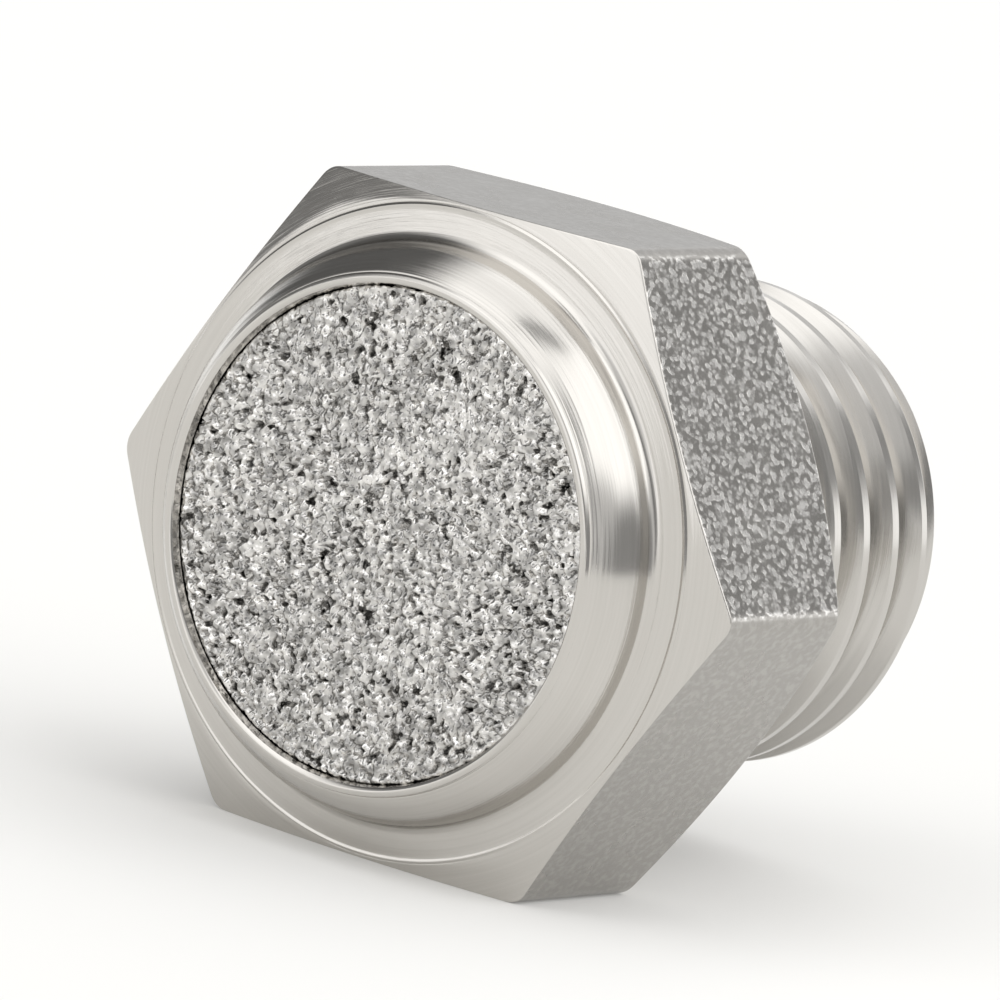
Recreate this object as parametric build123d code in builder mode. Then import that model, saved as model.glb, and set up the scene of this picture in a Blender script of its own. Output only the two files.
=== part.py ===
"""Pneumatic exhaust muffler: a hexagon body with a taper pipe thread and a sintered metal disc.

The body is turned from hexagon bar.  Its axis is the Y axis: the thread points along +Y, the
porous disc faces -Y, and one flat of the hexagon lies level underneath.  The origin is on the
axis, in the plane of the hexagon's rear face.  Millimetres, +Z up.
"""
from build123d import *
import os
from math import atan, cos, degrees, radians, tan

# ---- hexagon ----
ACROSS_FLATS = 17.0
BAR_CORNER_R = 0.6           # rounding of the drawn bar's six long edges
HEX_FRONT_Y = -5.52          # where the front chamfer would meet the bar's sharp corners
FRONT_EDGE_R = 8.42          # radius at which the front face turns into the corner chamfer
FRONT_EDGE_Y = -5.90
REAR_EDGE_R = 8.42           # the rear chamfer starts here, in the rear face's plane
REAR_CHAMFER_ANGLE = 30.0

# ---- front boss, whose rim is rolled over the disc ----
FOOT_OUTER_R = 7.72          # a small hollow joins the boss to the hexagon's front face
FOOT_OUTER_Y = -5.99
BOSS_R = 7.45
BOSS_FOOT_Y = -6.24
SHOULDER_R = 7.13
SHOULDER_Y = -7.11
LIP_R = 6.52                 # the rim's highest circle
LIP_TOP_Y = -7.74
LIP_INNER_R = 6.38
LIP_INNER_Y = -7.68

# ---- sintered disc and its pocket ----
DISC_R = 6.64
DISC_FACE_R = 6.32           # what the rolled rim leaves open
DISC_FACE_Y = -7.50
DISC_BEVEL_Y = -6.88         # where the disc's front bevel starts
DISC_THICKNESS = 3.0

# ---- air passage ----
BORE_R = 4.0
CHAMBER_R = 5.6
CHAMBER_DEPTH = 2.7
DRILL_POINT_ANGLE = 118.0
BORE_MOUTH_CHAMFER = 0.3

# ---- thread: ISO 7-1 R 1/4, 19 threads per inch, 55 degrees, 1:16 on diameter ----
PITCH = 25.4 / 19
GAUGE_MAJOR_R = 13.157 / 2
GAUGE_LENGTH = 6.0
TAPER = 1 / 32               # radius lost per millimetre towards the end
THREAD_DEPTH = 0.856
FLANK_ANGLE = 27.5
THREAD_END_Y = 9.0
END_CHAMFER = 0.57
NECK_R = 5.6
NECK_LENGTH = 1.5
NECK_FILLET_R = 0.4
GROOVE_PHASE_Y = 4.82        # where a groove crosses the underside
GROOVE_STAND_OUT = 0.15      # how far the cutter reaches past the crests
GROOVE_TURNS = 7             # from beyond the end face to the neck
GROOVE_TURNS_ABOVE = 4       # how many of them lie above the phase mark
CUTTER_TURN = 20.0           # degrees from the underside to the cutter's starting side

hex_corner_r = ACROSS_FLATS / 2 / cos(radians(30))
blank_r = hex_corner_r + 1.0
front_slope = (HEX_FRONT_Y - FRONT_EDGE_Y) / (hex_corner_r - FRONT_EDGE_R)
rear_slope = tan(radians(REAR_CHAMFER_ANGLE))
end_chamfer_y = THREAD_END_Y - END_CHAMFER
disc_back_y = DISC_FACE_Y + DISC_THICKNESS
chamber_floor_y = disc_back_y + CHAMBER_DEPTH
bore_start_y = chamber_floor_y + (CHAMBER_R - BORE_R) / tan(radians(DRILL_POINT_ANGLE / 2))
bore_end_y = THREAD_END_Y - BORE_MOUTH_CHAMFER


def crest_r(y):
    """Radius of the thread's crests at a place along the axis."""
    return GAUGE_MAJOR_R + (THREAD_END_Y - GAUGE_LENGTH - y) * TAPER


# Each profile is drawn in the XY plane, with the radius along X, and turned about the Y axis.
thread_start_y = NECK_LENGTH + crest_r(NECK_LENGTH) - NECK_R
groove_start_y = GROOVE_PHASE_Y + PITCH * (GROOVE_TURNS_ABOVE + CUTTER_TURN / 360)
root_x = -THREAD_DEPTH / 2
top_x = THREAD_DEPTH / 2 + GROOVE_STAND_OUT
root_half = PITCH / 4 + root_x * tan(radians(FLANK_ANGLE))
top_half = PITCH / 4 + top_x * tan(radians(FLANK_ANGLE))

with BuildPart() as threaded_body:
    with BuildSketch(Plane.XY) as outside:
        with BuildLine():
            Polyline((0, LIP_INNER_Y), (LIP_INNER_R, LIP_INNER_Y), (LIP_R, LIP_TOP_Y))
            ThreePointArc((LIP_R, LIP_TOP_Y), (SHOULDER_R, SHOULDER_Y), (BOSS_R, BOSS_FOOT_Y))
            TangentArc((BOSS_R, BOSS_FOOT_Y), (FOOT_OUTER_R, FOOT_OUTER_Y), tangent=(0, 1))
            Polyline(
                (FOOT_OUTER_R, FOOT_OUTER_Y),
                (FRONT_EDGE_R, FRONT_EDGE_Y),
                (blank_r, HEX_FRONT_Y + (blank_r - hex_corner_r) * front_slope),
                (blank_r, -(blank_r - REAR_EDGE_R) * rear_slope),
                (REAR_EDGE_R, 0),
                (NECK_R + NECK_FILLET_R, 0),
            )
            TangentArc((NECK_R + NECK_FILLET_R, 0), (NECK_R, NECK_FILLET_R), tangent=(-1, 0))
            Polyline(
                (NECK_R, NECK_FILLET_R),
                (NECK_R, NECK_LENGTH),
                (crest_r(thread_start_y), thread_start_y),
                (crest_r(end_chamfer_y), end_chamfer_y),
                (crest_r(end_chamfer_y) - END_CHAMFER, THREAD_END_Y),
                (0, THREAD_END_Y),
                (0, LIP_INNER_Y),
            )
        make_face()
    revolve(axis=Axis.Y)

    # the six flats, left where the turning has not reached them
    with BuildSketch(Plane.XZ.offset(-THREAD_END_Y)) as hexagon:
        RegularPolygon(ACROSS_FLATS / 2, side_count=6, major_radius=False)
        fillet(hexagon.vertices(), BAR_CORNER_R)
    extrude(amount=THREAD_END_Y - LIP_TOP_Y, mode=Mode.INTERSECT)

    # pocket for the disc, chamber behind it, and the bore through the thread
    with BuildSketch(Plane.XY) as passage:
        with BuildLine():
            Polyline(
                (0, LIP_TOP_Y),
                (LIP_INNER_R, LIP_TOP_Y),
                (LIP_INNER_R, LIP_INNER_Y),
                (DISC_FACE_R, DISC_FACE_Y),
                (DISC_R, DISC_BEVEL_Y),
                (DISC_R, disc_back_y),
                (CHAMBER_R, disc_back_y),
                (CHAMBER_R, chamber_floor_y),
                (BORE_R, bore_start_y),
                (BORE_R, bore_end_y),
                (BORE_R + BORE_MOUTH_CHAMFER, THREAD_END_Y),
                (0, THREAD_END_Y),
                close=True,
            )
        make_face()
    revolve(axis=Axis.Y, mode=Mode.SUBTRACT)

    # the thread's groove: one turn of the cutter at a time, along a helix that opens out with
    # the taper towards the hexagon and leaves the metal over the neck
    for turn in range(GROOVE_TURNS):
        turn_start_y = groove_start_y - turn * PITCH
        with BuildLine() as groove_path:
            from_underside = Helix(
                pitch=PITCH,
                height=PITCH,
                radius=crest_r(turn_start_y) - THREAD_DEPTH / 2,
                center=(0, turn_start_y, 0),
                direction=(0, -1, 0),
                cone_angle=degrees(atan(TAPER)),
                mode=Mode.PRIVATE,
            )
            add(from_underside.rotate(Axis.Y, CUTTER_TURN))
        start = groove_path.line @ 0
        across = Plane(
            origin=start, x_dir=Vector(start.X, 0, start.Z), z_dir=groove_path.line % 0
        )
        with BuildSketch(across) as groove:
            with BuildLine():
                Polyline(
                    (root_x, -root_half),
                    (top_x, -top_half),
                    (top_x, top_half),
                    (root_x, root_half),
                    close=True,
                )
            make_face()
        sweep(path=groove_path.line, is_frenet=True, mode=Mode.SUBTRACT)

# The disc fills its pocket: flat on the ledge at the back, under the rolled rim at the front.
with BuildPart() as sintered_disc:
    with BuildSketch(Plane.XY) as disc_section:
        with BuildLine():
            Polyline(
                (0, DISC_FACE_Y),
                (DISC_FACE_R, DISC_FACE_Y),
                (DISC_R, DISC_BEVEL_Y),
                (DISC_R, disc_back_y),
                (0, disc_back_y),
                close=True,
            )
        make_face()
    revolve(axis=Axis.Y)

os.makedirs("parts", exist_ok=True)
threaded_body.part.label = "threaded_body"
export_step(threaded_body.part, "parts/threaded_body.step")
sintered_disc.part.label = "sintered_disc"
export_step(sintered_disc.part, "parts/sintered_disc.step")
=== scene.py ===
"""Looks of the pneumatic muffler: a turned stainless body and its sintered disc.

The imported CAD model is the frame.  Lengths below are millimetres unless a name says otherwise, and
MM turns them into Blender's metres.  The muffler's axis is Y: its disc faces -Y, its thread +Y.
"""
import math

import bmesh
import bpy
import numpy as np
from mathutils import Matrix, Vector


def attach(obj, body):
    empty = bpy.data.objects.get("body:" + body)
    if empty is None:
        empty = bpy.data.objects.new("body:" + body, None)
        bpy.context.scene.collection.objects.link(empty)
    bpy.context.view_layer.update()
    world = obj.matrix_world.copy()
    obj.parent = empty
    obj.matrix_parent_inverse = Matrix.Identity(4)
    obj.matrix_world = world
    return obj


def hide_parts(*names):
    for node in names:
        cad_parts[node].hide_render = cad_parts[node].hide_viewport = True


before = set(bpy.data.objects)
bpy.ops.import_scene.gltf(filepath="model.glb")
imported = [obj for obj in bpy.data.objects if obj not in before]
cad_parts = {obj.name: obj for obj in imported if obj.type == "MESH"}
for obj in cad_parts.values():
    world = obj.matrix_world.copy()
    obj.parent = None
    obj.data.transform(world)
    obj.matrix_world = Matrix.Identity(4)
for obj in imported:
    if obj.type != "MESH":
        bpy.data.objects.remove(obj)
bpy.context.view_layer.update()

MM = 0.001

# ---- hexagon ----
ACROSS_FLATS = 17.0
BAR_CORNER_R = 0.6
HEX_CORNER_R = ACROSS_FLATS / 2 / math.cos(math.radians(30))
HEX_FRONT_Y = -5.52
FOOT_OUTER = (7.72, -5.99)
FRONT_EDGE = (8.42, -5.90)
REAR_EDGE_R = 8.42
REAR_SLOPE = math.tan(math.radians(30))
EDGE_BREAK = 0.03            # sharp edges are broken by this much
EDGE_INSET = 0.3 * EDGE_BREAK           # the broken edge's middle row: in from the flat
EDGE_SINK = 0.2 * EDGE_BREAK            # and down from the face
BEAD_R = 8.36                # the turning tool left a small bead where the corner chamfer starts
BEAD_HALF = 0.09
BEAD_RISE = 0.025
BEAD_SINK = 0.02

# ---- front boss and its rolled rim, as (radius, y) ----
BOSS_FOOT = (7.45, -6.24)
HOLLOW = (7.51, -6.09)
SHOULDER = (7.13, -7.11)
DOME_START = (6.70, -7.60)
CREASE = (6.655, -7.61)      # a fine turned line between the rolled rim and the dome
LIP_OUTER = (6.62, -7.70)
LIP_TOP = (6.50, -7.735)
LIP_INNER = (6.39, -7.68)
LIP_ROOT = (6.34, -7.47)

# ---- disc and the passage behind it ----
DISC_R = 6.64
DISC_FACE_R = 6.32
DISC_FACE_Y = -7.50
DISC_BEVEL_Y = -6.88
DISC_BACK_Y = -4.50
CHAMBER_R = 5.6
CHAMBER_FLOOR_Y = -1.80
BORE_R = 4.0
BORE_START_Y = -0.839        # the drill point's cone ends here
BORE_MOUTH_CHAMFER = 0.3

# ---- taper thread ----
PITCH = 25.4 / 19
CREST_AT_GAUGE_R = 13.157 / 2
GAUGE_Y = 3.0
TAPER = 1 / 32
THREAD_DEPTH = 0.856
FLANK_TAN = math.tan(math.radians(27.5))
CREST_HALF = PITCH / 4 - THREAD_DEPTH / 2 * FLANK_TAN
CREST_Y = 4.82 - PITCH / 2   # where a crest crosses the underside
CREST_SOFTNESS = 0.02        # rounding of the thread's crests and roots
CORNER_REACH = 1.5           # a rounding's rows reach this many softnesses to either side
NECK_R = 5.6
NECK_LENGTH = 1.5
NECK_FILLET_R = 0.4
THREAD_END_Y = 9.0
END_CHAMFER = 0.57
END_CHAMFER_Y = THREAD_END_Y - END_CHAMFER
QUARTER_TURN = 0.25          # from the underside to +X, where the mesh's columns start

# ---- mesh density ----
FLAT_COLUMNS = 48            # columns across each flat of the hexagon
CORNER_COLUMNS = 8           # columns round each of its corners
CORNER_HALF_ANGLE = math.radians(2.4)
LIP_STEPS = 8
DOME_STEPS = 28
HOLLOW_STEPS = 10
LAND_STEPS = 6
BEAD_ROWS = 7
FILLET_STEPS = 6
BORE_STEPS = 8
STRETCH_STEPS = 3            # rows on each crest, flank, root and corner, and each short surface
# Rows of the faces, as shares of their width.  They crowd towards the edges, so that smooth
# shading leaves the faces looking flat.
FRONT_CHAMFER_SHARES = (0.3, 0.6, 0.85, 0.97, 1.0)
FLAT_SHARES = (0, 0.01, 0.2, 0.4, 0.6, 0.8, 0.99, 1)
REAR_CHAMFER_SHARES = (1, 0.97, 0.6, 0.3, 0)
REAR_FACE_SHARES = np.linspace(0.02, 0.98, 8)
END_FACE_SHARES = (0.03, 0.3, 0.6, 0.97)
WELD = 0.0005                # vertices closer than this are one
BODY_SHARP_ANGLE = math.radians(28)     # a crease sharper than this isn't shaded over
DISC_SHARP_ANGLE = math.radians(56)


# ------------------------------------------------------------------ outlines
def line(a, b, steps):
    """Points from a up to, but without, b."""
    step = (b[0] - a[0]), (b[1] - a[1])
    return [(a[0] + step[0] * i / steps, a[1] + step[1] * i / steps) for i in range(steps)]


def arc(a, via, b, steps):
    """Points on the circle through a, via and b, from a up to, but without, b."""
    a, via, b = complex(*a), complex(*via), complex(*b)
    lean = (via - a) * abs(b - a) ** 2 - (b - a) * abs(via - a) ** 2
    centre = a + 0.5j * lean / ((via - a).conjugate() * (b - a)).imag
    first = math.atan2((a - centre).imag, (a - centre).real)
    turn = math.atan2((b - centre).imag, (b - centre).real) - first
    turn = (turn + math.pi) % (2 * math.pi) - math.pi
    angles = np.linspace(first, first + turn, steps + 1)[:-1]
    spokes = [abs(a - centre) * complex(math.cos(t), math.sin(t)) for t in angles]
    return [((centre + s).real, (centre + s).imag) for s in spokes]


def hex_radius(theta):
    """Distance from the axis to the rounded hexagon, whose corners are at 0, 60, 120 degrees."""
    off = abs((theta + math.pi / 6) % (math.pi / 3) - math.pi / 6)
    centre = (ACROSS_FLATS / 2 - BAR_CORNER_R) / math.cos(math.pi / 6)
    tangent = math.atan2(BAR_CORNER_R / 2, centre + BAR_CORNER_R * math.cos(math.pi / 6))
    if off > tangent:
        return ACROSS_FLATS / 2 / math.cos(math.pi / 6 - off)
    return centre * math.cos(off) + math.sqrt(BAR_CORNER_R**2 - (centre * math.sin(off)) ** 2)


def front_face_y(r):
    """The turned front of the hexagon: a shallow cone, then the corner chamfer."""
    if r < FRONT_EDGE[0]:
        share = (r - FOOT_OUTER[0]) / (FRONT_EDGE[0] - FOOT_OUTER[0])
        return FOOT_OUTER[1] + share * (FRONT_EDGE[1] - FOOT_OUTER[1])
    share = (r - FRONT_EDGE[0]) / (HEX_CORNER_R - FRONT_EDGE[0])
    return FRONT_EDGE[1] + share * (HEX_FRONT_Y - FRONT_EDGE[1])


def rear_face_y(r):
    return -max(r - REAR_EDGE_R, 0.0) * REAR_SLOPE


def crest_radius(y):
    return CREST_AT_GAUGE_R + (GAUGE_Y - y) * TAPER


def softened(x, width):
    """x above 0 and 0 below, with the corner between them rounded over about width."""
    return 0.5 * (x + np.sqrt(x * x + width * width))


# ------------------------------------------------------------------ the turned body
FRONT, FLAT, REAR, THREAD, INSIDE = range(5)     # the finishes of the body's surfaces


def body_columns():
    """Angles of the body's mesh columns from +X towards +Z, crowded round the hexagon's corners."""
    corner = np.linspace(-CORNER_HALF_ANGLE, CORNER_HALF_ANGLE, CORNER_COLUMNS, endpoint=False)
    flat = np.linspace(CORNER_HALF_ANGLE, math.pi / 3 - CORNER_HALF_ANGLE, FLAT_COLUMNS, endpoint=False)
    sector = np.concatenate([corner, flat])
    return np.concatenate([sector + side * math.pi / 3 for side in range(6)])


def thread_steps():
    """Places of the rows within one pitch, as shares of the pitch from a root's rising corner."""
    crest, root = CREST_HALF / PITCH, 0.5 - CREST_HALF / PITCH
    soft = CORNER_REACH * CREST_SOFTNESS / PITCH
    corners = (-root, -crest, crest, root, 1 - root)
    stretches = []
    for corner, following in zip(corners, corners[1:]):
        for start, end in ((corner - soft, corner + soft), (corner + soft, following - soft)):
            stretches.append(np.linspace(start, end, STRETCH_STEPS, endpoint=False))
    return np.concatenate(stretches)


def thread_rows(theta):
    """(radius, y, rows per pitch) of the thread's rows.  The rows climb with the helix, so a row of
    the last column carries on in the first column's row one pitch earlier.  Rows that would leave
    the thread are gathered at its ends, and the rows nearest an edge are moved onto it."""
    cone_top_y = NECK_LENGTH + crest_radius(NECK_LENGTH) - NECK_R
    steps = thread_steps()
    first_pitch = math.floor((NECK_LENGTH - CREST_Y) / PITCH + QUARTER_TURN)
    last_pitch = math.ceil((THREAD_END_Y - CREST_Y) / PITCH + 3 * QUARTER_TURN)
    climb = (np.arange(first_pitch, last_pitch + 1)[:, None] + steps).ravel() * PITCH
    crest_y = CREST_Y - (theta / math.tau + QUARTER_TURN) * PITCH
    y = np.clip(crest_y + climb[:, None], NECK_LENGTH, THREAD_END_Y)
    for edge in (cone_top_y, END_CHAMFER_Y):
        y[np.abs(y - edge).argmin(axis=0), np.arange(len(theta))] = edge
    from_crest = np.abs((y - crest_y + PITCH / 2) % PITCH - PITCH / 2)
    depth = softened((from_crest - CREST_HALF) / FLANK_TAN, CREST_SOFTNESS)
    depth = THREAD_DEPTH - softened(THREAD_DEPTH - depth, CREST_SOFTNESS)
    cone_slope = (crest_radius(cone_top_y) - NECK_R) / (cone_top_y - NECK_LENGTH)
    start_cone = NECK_R + (y - NECK_LENGTH) * cone_slope
    end_cone = crest_radius(END_CHAMFER_Y) - np.maximum(y - END_CHAMFER_Y, 0)
    crest = crest_radius(y)
    return np.minimum.reduce([crest - depth, start_cone, end_cone]), y, len(steps)


def body_section(theta):
    """Rings of (radius, y) round the body's closed section at every column, each with its finish."""
    ones = np.ones(len(theta))
    bar_r = np.array([hex_radius(t) for t in theta])
    front_y = np.array([front_face_y(r) for r in bar_r])
    rear_y = np.array([rear_face_y(r) for r in bar_r])
    rings = []

    def add(points, finish):
        rings.extend((r * ones, y * ones, finish) for r, y in points)

    # the rolled rim, the dome and the hollow at its foot
    add(line(LIP_ROOT, LIP_INNER, STRETCH_STEPS), FRONT)
    add(arc(LIP_INNER, LIP_TOP, LIP_OUTER, LIP_STEPS), FRONT)
    add((LIP_OUTER, CREASE), FRONT)
    add(arc(DOME_START, SHOULDER, BOSS_FOOT, DOME_STEPS), FRONT)
    add(arc(BOSS_FOOT, HOLLOW, FOOT_OUTER, HOLLOW_STEPS), FRONT)

    # the hexagon's front, its bead and its corner chamfer
    bead_start, bead_end = BEAD_R - BEAD_HALF, BEAD_R + BEAD_HALF
    add(line(FOOT_OUTER, (bead_start, front_face_y(bead_start)), LAND_STEPS), FRONT)
    for share in np.linspace(-1, 1, BEAD_ROWS):
        r = BEAD_R + share * BEAD_HALF
        ridge = BEAD_RISE * math.cos(share * math.pi / 2) ** 2
        furrow = BEAD_SINK * math.sin(max(share, 0) * math.pi)
        rings.append((r * ones, (front_face_y(r) - (ridge - furrow)) * ones, FRONT))
    broken_r = bar_r - EDGE_BREAK
    for share in FRONT_CHAMFER_SHARES:
        r = bead_end + share * np.maximum(broken_r - bead_end, 0)
        rings.append((r, np.array([front_face_y(x) for x in r]), FRONT))

    # the flats, between their broken edges
    rings.append((bar_r - EDGE_INSET, front_y + EDGE_SINK, FRONT))
    for share in FLAT_SHARES:
        y = front_y + EDGE_BREAK + share * (rear_y - front_y - 2 * EDGE_BREAK)
        rings.append((bar_r, y, FLAT))
    rings.append((bar_r - EDGE_INSET, rear_y - EDGE_SINK, REAR))

    # the rear chamfer and face, the neck's fillet and the neck
    chamfer_r = np.maximum(broken_r, REAR_EDGE_R)
    for share in REAR_CHAMFER_SHARES:
        r = REAR_EDGE_R + share * (chamfer_r - REAR_EDGE_R)
        r = np.where(broken_r > REAR_EDGE_R, r, broken_r)
        rings.append((r, np.array([rear_face_y(x) for x in r]), REAR))
    face_r = np.minimum(broken_r, REAR_EDGE_R)
    inner_r = NECK_R + NECK_FILLET_R
    for share in REAR_FACE_SHARES:
        rings.append((face_r + share * (inner_r - face_r), 0 * ones, REAR))
    bend = math.sqrt(0.5) * NECK_FILLET_R
    fillet_middle = (inner_r - bend, NECK_FILLET_R - bend)
    add(arc((inner_r, 0), fillet_middle, (NECK_R, NECK_FILLET_R), FILLET_STEPS), REAR)
    add(line((NECK_R, NECK_FILLET_R), (NECK_R, NECK_LENGTH), STRETCH_STEPS + 1), THREAD)

    thread_r, thread_y, per_pitch = thread_rows(theta)
    thread_first = len(rings)
    rings.extend((r, y, THREAD) for r, y in zip(thread_r, thread_y))
    thread_last = len(rings) - 1

    # the end face, the bore, the chamber and the disc's pocket
    mouth_r = BORE_R + BORE_MOUTH_CHAMFER
    for share in END_FACE_SHARES:
        rings.append((thread_r[-1] + share * (mouth_r - thread_r[-1]), THREAD_END_Y * ones, REAR))
    bore_end = (BORE_R, THREAD_END_Y - BORE_MOUTH_CHAMFER)
    bore_start = (BORE_R, BORE_START_Y)
    chamber_end = (CHAMBER_R, CHAMBER_FLOOR_Y)
    chamber_start = (CHAMBER_R, DISC_BACK_Y)
    pocket_back = (DISC_R, DISC_BACK_Y)
    pocket_front = (DISC_R, DISC_BEVEL_Y)
    add(line((mouth_r, THREAD_END_Y), bore_end, STRETCH_STEPS), REAR)
    add(line(bore_end, bore_start, BORE_STEPS), INSIDE)
    add(line(bore_start, chamber_end, STRETCH_STEPS), INSIDE)
    add(line(chamber_end, chamber_start, STRETCH_STEPS), INSIDE)
    add(line(chamber_start, pocket_back, STRETCH_STEPS - 1), INSIDE)
    add(line(pocket_back, pocket_front, STRETCH_STEPS), INSIDE)
    add(line(pocket_front, LIP_ROOT, STRETCH_STEPS), INSIDE)
    return rings, thread_first, thread_last, per_pitch


def make_mesh(name, points, faces, finishes, materials):
    mesh = bpy.data.meshes.new(name)
    mesh.from_pydata((np.asarray(points) * MM).tolist(), [], faces)
    for material in materials:
        mesh.materials.append(material)
    mesh.polygons.foreach_set("material_index", np.asarray(finishes, np.int32))
    mesh.validate()
    mesh.shade_smooth()
    piece = bpy.data.objects.new(name, mesh)
    bpy.context.scene.collection.objects.link(piece)
    return piece


def make_body(materials):
    theta = body_columns()
    rings, thread_first, thread_last, per_pitch = body_section(theta)
    radius = np.array([ring[0] for ring in rings])
    along = np.array([ring[1] for ring in rings])
    points = np.stack([radius * np.cos(theta), along, radius * np.sin(theta)], axis=-1)
    rows, columns = radius.shape
    vertex = np.arange(rows * columns).reshape(rows, columns)
    faces, finishes = [], []

    def quad(a, b, c, d, finish):
        """Two triangles that share the edge from a to c."""
        faces.extend([(a, b, c), (a, c, d)])
        finishes.extend([finish, finish])

    for row in range(rows):
        above = (row + 1) % rows
        threaded = thread_first <= row < thread_last
        for column in range(columns):
            beside = (column + 1) % columns
            if threaded and beside == 0:
                continue
            corners = (vertex[row, column], vertex[above, column], vertex[above, beside], vertex[row, beside])
            quad(*map(int, corners), rings[row][2])
    for row in range(thread_first, thread_last - per_pitch):
        ahead = row + per_pitch
        corners = (vertex[ahead, -1], vertex[ahead + 1, -1], vertex[row + 1, 0], vertex[row, 0])
        quad(*map(int, corners), THREAD)

    body = make_mesh("muffler_body", points.reshape(-1, 3), faces, finishes, materials)
    weld = bmesh.new()
    weld.from_mesh(body.data)
    bmesh.ops.remove_doubles(weld, verts=weld.verts, dist=WELD * MM)
    bmesh.ops.recalc_face_normals(weld, faces=weld.faces)
    weld.to_mesh(body.data)
    weld.free()
    body.data.set_sharp_from_angle(angle=BODY_SHARP_ANGLE)
    return body


# ------------------------------------------------------------------ the sintered disc
GRAIN_SEED = 7
GRAIN_CELL = 0.02            # spacing of the grains' height map
MAP_MARGIN = 0.3             # how far the map reaches past the disc
GRAINS = 18000
GRAIN_R = (0.075, 0.15)
GRAIN_STRETCH = (1, 1.6)     # a grain is this much longer, and narrower by the same factor
GRAIN_LEAN = 0.75            # steepest slope of a grain, along either axis
GRAIN_DROP = 0.16            # the lowest grain's top lies this far under the highest
DROP_POWER = 1.5             # above 1, more of the grains lie high than low
GRAIN_CROWN = 1.15           # how far a grain falls away at its edge, in grain radii
PATCH_REACH = 1.9            # half side of the patch worked out for one grain, in grain radii
PORES = 14
PORE_R = (0.06, 0.13)
PORE_STRETCH = (0.6, 1.4)
PORE_DEPTH = 0.26
DISC_CELLS = 300             # cells of the disc's face, side to side
DISC_EDGE_DROP = 0.05
DISC_EDGE_WIDTH = 0.10
DISC_EDGE_RELIEF = 0.25      # the grains' height at the rim, as a share of their full height
DISC_BACK_RING_R = CHAMBER_R - 0.4      # a ring of vertices on the disc's back


def grain_heights():
    """A height map of metal grains sintered together: 0 at the highest, -PORE_DEPTH in a pore."""
    rng = np.random.default_rng(GRAIN_SEED)
    reach = DISC_R + MAP_MARGIN
    cells = int(2 * reach / GRAIN_CELL)
    heights = np.full((cells, cells), -PORE_DEPTH)
    half = int(PATCH_REACH * GRAIN_R[1] / GRAIN_CELL)
    side = 2 * half + 1
    steps = np.arange(-half, half + 1) * GRAIN_CELL
    across, up = np.meshgrid(steps, steps, indexing="ij")

    def random_patch():
        i, j = rng.uniform(0, cells - side, 2).astype(int)
        return heights[i : i + side, j : j + side]

    for _ in range(GRAINS):
        patch = random_patch()
        size = rng.uniform(*GRAIN_R)
        stretch, tilt = rng.uniform(*GRAIN_STRETCH), rng.uniform(0, math.pi)
        lean = rng.uniform(-GRAIN_LEAN, GRAIN_LEAN, 2)
        long = (across * math.cos(tilt) + up * math.sin(tilt)) / stretch
        wide = (up * math.cos(tilt) - across * math.sin(tilt)) * stretch
        away = (long**2 + wide**2) / size**2
        bulge = size * GRAIN_CROWN * (np.sqrt(np.maximum(1 - away, 0)) - 1)
        drop = rng.uniform(0, 1) ** DROP_POWER * GRAIN_DROP
        grain = bulge - drop + lean[0] * across + lean[1] * up
        grain[away > 1] = -PORE_DEPTH
        np.maximum(patch, grain, out=patch)
    for _ in range(PORES):
        patch = random_patch()
        from_middle = np.hypot(across * rng.uniform(*PORE_STRETCH), up * rng.uniform(*PORE_STRETCH))
        patch[from_middle < rng.uniform(*PORE_R)] = -PORE_DEPTH
    return np.clip(heights, -PORE_DEPTH, 0), reach


def sample(heights, reach, x, z):
    """The height map's value at x, z, between its four nearest cells."""
    u, v = (x + reach) / GRAIN_CELL - 0.5, (z + reach) / GRAIN_CELL - 0.5
    i, j = np.floor(u).astype(int), np.floor(v).astype(int)
    u, v = u - i, v - j
    low = heights[i, j] * (1 - u) + heights[i + 1, j] * u
    high = heights[i, j + 1] * (1 - u) + heights[i + 1, j + 1] * u
    return low * (1 - v) + high * v


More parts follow.
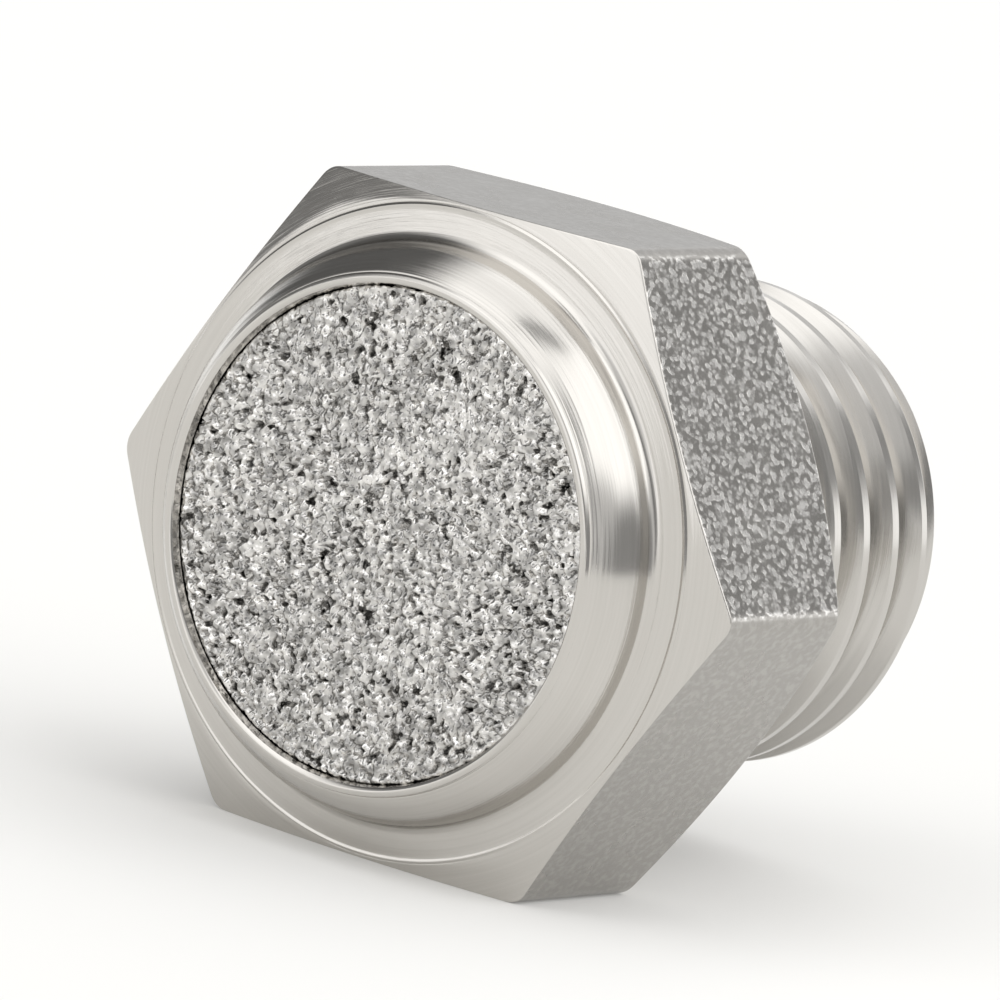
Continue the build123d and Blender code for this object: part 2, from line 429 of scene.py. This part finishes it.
def make_disc(material):
    """The disc's face is a square grid drawn out to a circle; plain rings close its side and back."""
    share = np.linspace(-1, 1, DISC_CELLS + 1)
    a, b = np.meshgrid(share, share, indexing="ij")
    sideways = np.abs(a) >= np.abs(b)
    outer = np.where(sideways, a, b)
    inner = np.where(sideways, b, a)
    turn = math.pi / 4 * inner / np.where(outer == 0, 1, outer)
    x = DISC_FACE_R * outer * np.where(sideways, np.cos(turn), np.sin(turn))
    z = DISC_FACE_R * outer * np.where(sideways, np.sin(turn), np.cos(turn))
    heights, reach = grain_heights()
    from_edge = (DISC_FACE_R - np.hypot(x, z)) / DISC_EDGE_WIDTH
    drop = DISC_EDGE_DROP * np.clip(1 - from_edge, 0, 1) ** 2
    relief = np.clip(from_edge / 2, DISC_EDGE_RELIEF, 1)
    y = DISC_FACE_Y - sample(heights, reach, x, z) * relief + drop
    points = np.stack([x, y, z], axis=-1).reshape(-1, 3)
    index = np.arange(len(points)).reshape(x.shape)
    corners = (index[:-1, :-1], index[1:, :-1], index[1:, 1:], index[:-1, 1:])
    faces = np.stack(corners, axis=-1).reshape(-1, 4).tolist()

    rim = np.concatenate([index[:-1, 0], index[-1, :-1], index[:0:-1, -1], index[0, :0:-1]])
    rings, ring = [points], rim
    outline = ((DISC_R, DISC_BEVEL_Y), (DISC_R, DISC_BACK_Y), (DISC_BACK_RING_R, DISC_BACK_Y))
    for r, depth in outline:
        spread = points[rim] * np.array([r / DISC_FACE_R, 0, r / DISC_FACE_R])
        rings.append(spread + np.array([0, depth, 0]))
        following = np.arange(len(rim)) + sum(map(len, rings[:-1]))
        corners = (ring, following, np.roll(following, -1), np.roll(ring, -1))
        faces.extend(np.stack(corners, axis=-1).tolist())
        ring = following
    centre = sum(map(len, rings))
    rings.append(np.array([[0, DISC_BACK_Y, 0]]))
    faces.extend([int(p), centre, int(q)] for p, q in zip(ring, np.roll(ring, -1)))
    finishes = np.zeros(len(faces))
    disc = make_mesh("muffler_sintered_disc", np.concatenate(rings), faces, finishes, [material])
    disc.data.set_sharp_from_angle(angle=DISC_SHARP_ANGLE)
    return disc


# ------------------------------------------------------------------ materials
PROFILE_SHARE = 0.83         # radius + this share of y grows all the way along the front's profile
TURNED_RINGS = 11.0          # turning marks per millimetre, for the noise that draws them
RING_DRIFT = 0.12            # how much the marks change round the part
BROAD_RINGS = 0.4            # broad waves, as a share of the fine marks' frequency
BROAD_WEIGHT = 6.0
RIM_WAVES = (7.05, 6.75)     # between these radii the broad waves grow from weak to full
WEAK_WAVES = 0.12
THREAD_RINGS = 14.0
THREAD_DRIFT = 0.1
SPECK_SCALES = (6.2, 5.0, 6.2)
SPECK_RANGE = (0.40, 0.72)   # the noise values at which a speck starts and is full
COARSE_FLAT = (math.cos(math.pi / 6), 0, math.sin(math.pi / 6))     # faces +X and upwards; the strong specks and their painted glints lie on this flat
COARSE_REACH = (8.45, 8.495)            # only the flat itself reaches this far along COARSE_FLAT
FINE_SPECKS = 0.12           # strength of the specks, and of their painted glints, on the other flats
PAINTED_SHADE_DEPTH = 0.08               # painted shade darkens the grains from this depth down
BLUE_LOSS = 1.6              # a warm grey loses this much blue for the red it gains


class Nodes:
    """Builds a node tree.  An input may be a number, a colour, a vector or another node's socket."""

    def __init__(self, tree):
        self.tree = tree
        tree.nodes.clear()

    def feed(self, socket, value):
        if isinstance(value, bpy.types.NodeSocket):
            self.tree.links.new(value, socket)
        else:
            socket.default_value = value

    def add(self, kind, inputs=(), output=0, **settings):
        node = self.tree.nodes.new(kind)
        for name, value in settings.items():
            setattr(node, name, value)
        for name, value in dict(inputs).items():
            self.feed(node.inputs[name], value)
        return node.outputs[output]

    def parts(self, vector):
        """The x, y and z of a vector."""
        node = self.tree.nodes.new("ShaderNodeSeparateXYZ")
        self.feed(node.inputs[0], vector)
        return tuple(node.outputs)

    def math(self, operation, *values):
        return self.add("ShaderNodeMath", enumerate(values), operation=operation)

    def rising(self, value, gain, base):
        """gain times the value, plus base."""
        return self.math("MULTIPLY_ADD", value, gain, base)

    def scaled(self, value, low, high, to_low=0.0, to_high=1.0, **settings):
        """The value's place between low and high, held within to_low and to_high."""
        names = ("Value", "From Min", "From Max", "To Min", "To Max")
        inputs = zip(names, (value, low, high, to_low, to_high))
        return self.add("ShaderNodeMapRange", inputs, **settings)

    def vector(self, operation, first, second):
        return self.add("ShaderNodeVectorMath", {0: first, 1: second}, operation=operation)

    def dot(self, first, second):
        inputs = {0: first, 1: second}
        return self.add("ShaderNodeVectorMath", inputs, "Value", operation="DOT_PRODUCT")

    def enlarged(self, vector, factor):
        return self.add("ShaderNodeVectorMath", {0: vector, "Scale": factor}, operation="SCALE")

    def noise(self, vector, scale=1.0, detail=3.0, roughness=0.5):
        inputs = {"Vector": vector, "Scale": scale, "Detail": detail, "Roughness": roughness}
        return self.add("ShaderNodeTexNoise", inputs, noise_dimensions="3D")

    def mixed(self, share, low, high):
        """The colour low where share is 0, and high where it is 1."""
        node = self.tree.nodes.new("ShaderNodeMix")
        node.data_type = "RGBA"
        factor, first, second = node.inputs[0], node.inputs[6], node.inputs[7]
        for socket, value in ((factor, share), (first, low), (second, high)):
            self.feed(socket, value)
        return node.outputs[2]

    def finish(self, surface, output="ShaderNodeOutputMaterial"):
        end = self.tree.nodes.new(output)
        self.feed(end.inputs["Surface"], surface)


def grey(value, warmth):
    """A grey with its red raised by warmth, as a share, and its blue lowered."""
    return (value * (1 + warmth), value, value * (1 - BLUE_LOSS * warmth), 1.0)


def new_material(name):
    """A material, its nodes, and the place on the piece in millimetres."""
    material = bpy.data.materials.new(name)
    material.use_nodes = True
    nodes = Nodes(material.node_tree)
    metres = nodes.add("ShaderNodeTexCoord", output="Object")
    return material, nodes, nodes.enlarged(metres, 1 / MM)


def finish_metal(nodes, colour, roughness, height, relief):
    """Bare metal whose height map stands relief millimetres high."""
    bump = {"Strength": 1.0, "Distance": relief * MM, "Height": height}
    normal = nodes.add("ShaderNodeBump", bump)
    shader = {"Base Color": colour, "Metallic": 1.0, "Roughness": roughness, "Normal": normal}
    nodes.finish(nodes.add("ShaderNodeBsdfPrincipled", shader))


def marks(nodes, across, x, z, per_millimetre, drift):
    """Where to read the noise for tool marks: it changes fast across them and slowly along."""
    inputs = {
        0: nodes.math("MULTIPLY", across, per_millimetre),
        1: nodes.math("MULTIPLY", x, drift),
        2: nodes.math("MULTIPLY", z, drift),
    }
    return nodes.add("ShaderNodeCombineXYZ", inputs)


def turned_material():
    """Lathe-turned steel: fine rings about the axis, uneven round the part, and soft stains."""
    material, nodes, place = new_material("turned_stainless")
    x, y, z = nodes.parts(place)
    squares = nodes.math("ADD", nodes.math("MULTIPLY", x, x), nodes.math("MULTIPLY", z, z))
    radius = nodes.math("SQRT", squares)
    across = nodes.rising(y, gain=PROFILE_SHARE, base=radius)
    rings = marks(nodes, across, x, z, TURNED_RINGS, RING_DRIFT)
    fine = nodes.noise(rings, detail=4.0, roughness=0.65)
    broad = nodes.noise(nodes.enlarged(rings, BROAD_RINGS), detail=2.0)
    near_rim = nodes.scaled(radius, *RIM_WAVES, WEAK_WAVES, 1.0)
    waves = nodes.math("MULTIPLY", broad, near_rim)
    height = nodes.rising(waves, gain=BROAD_WEIGHT, base=fine)
    stains = nodes.noise(place, scale=0.55, detail=2.0)
    colour = nodes.mixed(fine, grey(0.50, 0.04), grey(0.62, 0.03))
    roughness = nodes.rising(stains, gain=0.16, base=0.05)
    finish_metal(nodes, colour, roughness, height, relief=0.006)
    return material


def drawn_material():
    """The drawn bar's flats: crowded soft specks, strong on one flat and faint on the others.  The specks'
    near-white colour is a painted glint, bright on that one flat.
    """
    material, nodes, place = new_material("drawn_flats")
    stretched = nodes.vector("MULTIPLY", place, SPECK_SCALES)
    ripple = nodes.noise(stretched, detail=1.2, roughness=0.45)
    specks_and_glints = nodes.scaled(ripple, *SPECK_RANGE, interpolation_type="SMOOTHSTEP")
    coarse_and_glinting_flat = nodes.scaled(nodes.dot(place, COARSE_FLAT), *COARSE_REACH, FINE_SPECKS, 1.0)
    height = nodes.math("MULTIPLY", specks_and_glints, coarse_and_glinting_flat)
    stains = nodes.noise(place, scale=0.8)
    # the specks are coloured near white: painted glints, full on the one flat and faint on the rest
    colour = nodes.mixed(height, grey(0.37, 0.035), grey(0.88, 0.02))
    roughness = nodes.rising(stains, gain=0.14, base=0.19)
    finish_metal(nodes, colour, roughness, height, relief=0.008)
    return material


def thread_material():
    """Cut thread: rings along the helix and a satin surface."""
    material, nodes, place = new_material("threaded_stainless")
    x, y, z = nodes.parts(place)
    rings = marks(nodes, y, x, z, THREAD_RINGS, THREAD_DRIFT)
    fine = nodes.noise(rings, roughness=0.6)
    stains = nodes.noise(place, scale=0.7)
    colour = nodes.mixed(fine, grey(0.50, 0.036), grey(0.60, 0.028))
    roughness = nodes.rising(stains, gain=0.16, base=0.12)
    finish_metal(nodes, colour, roughness, fine, relief=0.004)
    return material


def sintered_material():
    """Sintered grains: each crinkled and of uneven tone at its top, with painted shade darkening them down
    between the grains and in the pores.
    """
    material, nodes, place = new_material("sintered_stainless")
    crinkle = nodes.noise(place, scale=4.8, detail=1.5)
    y = nodes.parts(place)[1]
    # painted shade: the deeper the face lies between the grains and in the pores, the darker its colour
    depth = nodes.scaled(y, DISC_FACE_Y + PAINTED_SHADE_DEPTH, DISC_FACE_Y + PORE_DEPTH)
    mottle = nodes.noise(place, scale=4.2, detail=1.5)
    clouds = nodes.noise(place, scale=0.45, detail=2.0)
    speckle = nodes.scaled(mottle, low=0.32, high=0.68)
    stains = nodes.scaled(clouds, low=0.3, high=0.7, to_low=0.85, to_high=1.1)
    share = nodes.math("MULTIPLY", speckle, stains)
    top = nodes.mixed(share, grey(0.30, 0.02), grey(0.80, 0.02))
    # the deep places get a painted shade of dark grey
    colour = nodes.mixed(depth, top, grey(0.20, 0.02))
    roughness = nodes.rising(crinkle, gain=0.18, base=0.08)
    finish_metal(nodes, colour, roughness, crinkle, relief=0.10)
    return material


# ------------------------------------------------------------------ camera, floor and light
AIM = Vector((1.334, -4.371, 1.153)) * MM
CAMERA_PLACE = Vector((176.449, -256.871, 50.949)) * MM
CAMERA_ROLL = math.radians(10.4405)
LENS = 440.905
SENSOR = 36.0
NEAREST_SEEN = 0.01          # metres
FURTHEST_SEEN = 20.0         # metres
FLOOR_Z = -8.5
FLOOR_SIZE = 2.0             # metres
FLOOR_COLOUR = (0.735, 0.73, 0.715, 1)
FLOOR_GLOW = 0.23            # lifts the shadow under the muffler, as a lit table does


def make_camera():
    camera = bpy.data.objects.new("camera", bpy.data.cameras.new("camera"))
    bpy.context.scene.collection.objects.link(camera)
    camera.data.lens = LENS
    camera.data.sensor_width = SENSOR
    camera.data.clip_start = NEAREST_SEEN
    camera.data.clip_end = FURTHEST_SEEN
    forward = (AIM - CAMERA_PLACE).normalized()
    upright = forward.to_track_quat("-Z", "Y").to_matrix().to_4x4()
    roll = Matrix.Rotation(CAMERA_ROLL, 4, "Z")
    camera.matrix_world = Matrix.Translation(CAMERA_PLACE) @ upright @ roll
    bpy.context.scene.camera = camera


def make_floor():
    mesh = bpy.data.meshes.new("floor")
    half = FLOOR_SIZE / 2
    corners = [(-half, -half), (half, -half), (half, half), (-half, half)]
    mesh.from_pydata([(x, y, FLOOR_Z * MM) for x, y in corners], [], [(0, 1, 2, 3)])
    floor = bpy.data.objects.new("floor", mesh)
    bpy.context.scene.collection.objects.link(floor)
    material = bpy.data.materials.new("pale_floor")
    material.use_nodes = True
    nodes = Nodes(material.node_tree)
    surface = nodes.add("ShaderNodeBsdfDiffuse", {"Color": FLOOR_COLOUR})
    glow = nodes.add("ShaderNodeEmission", {"Color": FLOOR_COLOUR, "Strength": FLOOR_GLOW})
    nodes.finish(nodes.add("ShaderNodeAddShader", {0: surface, 1: glow}))
    mesh.materials.append(material)


def toward(azimuth, elevation):
    """The unit vector towards a place in the studio: azimuth 0 is -Y, 90 is +X."""
    a, e = math.radians(azimuth), math.radians(elevation)
    return Vector((math.sin(a) * math.cos(e), -math.cos(a) * math.cos(e), math.sin(e)))


# What stands round the muffler, as (azimuth, elevation, half width, half height) in degrees and
# its brightness: soft boxes, and the dark gaps and cards between them.  Later ones cover earlier.
SKY = 1.45
STUDIO = (
    (-25, 48, 42, 24, 1.75),
    (98, 50, 50, 24, 1.80),
    (134, 32, 16, 30, 1.70),
    (-158, 55, 26, 14, 1.60),
    (-168, 30, 16, 12, 0.82),
    (16, 26, 22, 20, 0.85),
    (64, 6, 24, 24, 0.80),
    (55, 82, 13, 6, 0.50),
    (98, 2, 30, 21, 0.36),
    (36, 16, 12, 38, 0.30),
    (30, 8, 17, 7, 0.30),
    (154, 24, 15, 13, 0.36),
    (-150, 2, 20, 14, 0.80),
    (-96, 33, 44, 27, 0.14),
    (-60, 15, 20, 13, 0.24),
)
SOFT_EDGE = (1.3, 0.7)       # a box fades in from this many times its size to this many
BACKDROP = 1.0               # what the camera itself sees past the floor


def uniform(brightness):
    return (brightness, brightness, brightness, 1)


def make_world():
    world = bpy.data.worlds.new("studio")
    bpy.context.scene.world = world
    world.use_nodes = True
    nodes = Nodes(world.node_tree)
    direction = nodes.add("ShaderNodeTexCoord", output="Generated")
    light = uniform(SKY)
    for azimuth, elevation, width, height, brightness in STUDIO:
        sideways = toward(azimuth + 90, 0) / math.sin(math.radians(width))
        upwards = toward(azimuth, elevation + 90) / math.sin(math.radians(height))
        place = {0: nodes.dot(direction, sideways), 1: nodes.dot(direction, upwards)}
        offset = nodes.add("ShaderNodeCombineXYZ", place)
        distance = nodes.add("ShaderNodeVectorMath", {0: offset}, "Value", operation="LENGTH")
        cover = nodes.scaled(distance, *SOFT_EDGE, interpolation_type="SMOOTHSTEP")
        ahead = nodes.math("GREATER_THAN", nodes.dot(direction, toward(azimuth, elevation)), 0)
        share = nodes.math("MULTIPLY", cover, ahead)
        light = nodes.mixed(share, light, uniform(brightness))
    seen = nodes.add("ShaderNodeLightPath", output="Is Camera Ray")
    shown = nodes.mixed(seen, light, uniform(BACKDROP))
    background = nodes.add("ShaderNodeBackground", {"Color": shown, "Strength": 1.0})
    nodes.finish(background, "ShaderNodeOutputWorld")


turned = turned_material()
body = make_body([turned, drawn_material(), turned, thread_material(), turned])
disc = make_disc(sintered_material())
for piece, node, slot in (
    (body, "threaded_body", "turned_stainless"),
    (disc, "sintered_disc", "sintered_stainless"),
):
    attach(piece, "root")
    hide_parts(node)
make_floor()
make_world()
make_camera()
bpy.context.scene.view_settings.view_transform = "Standard"
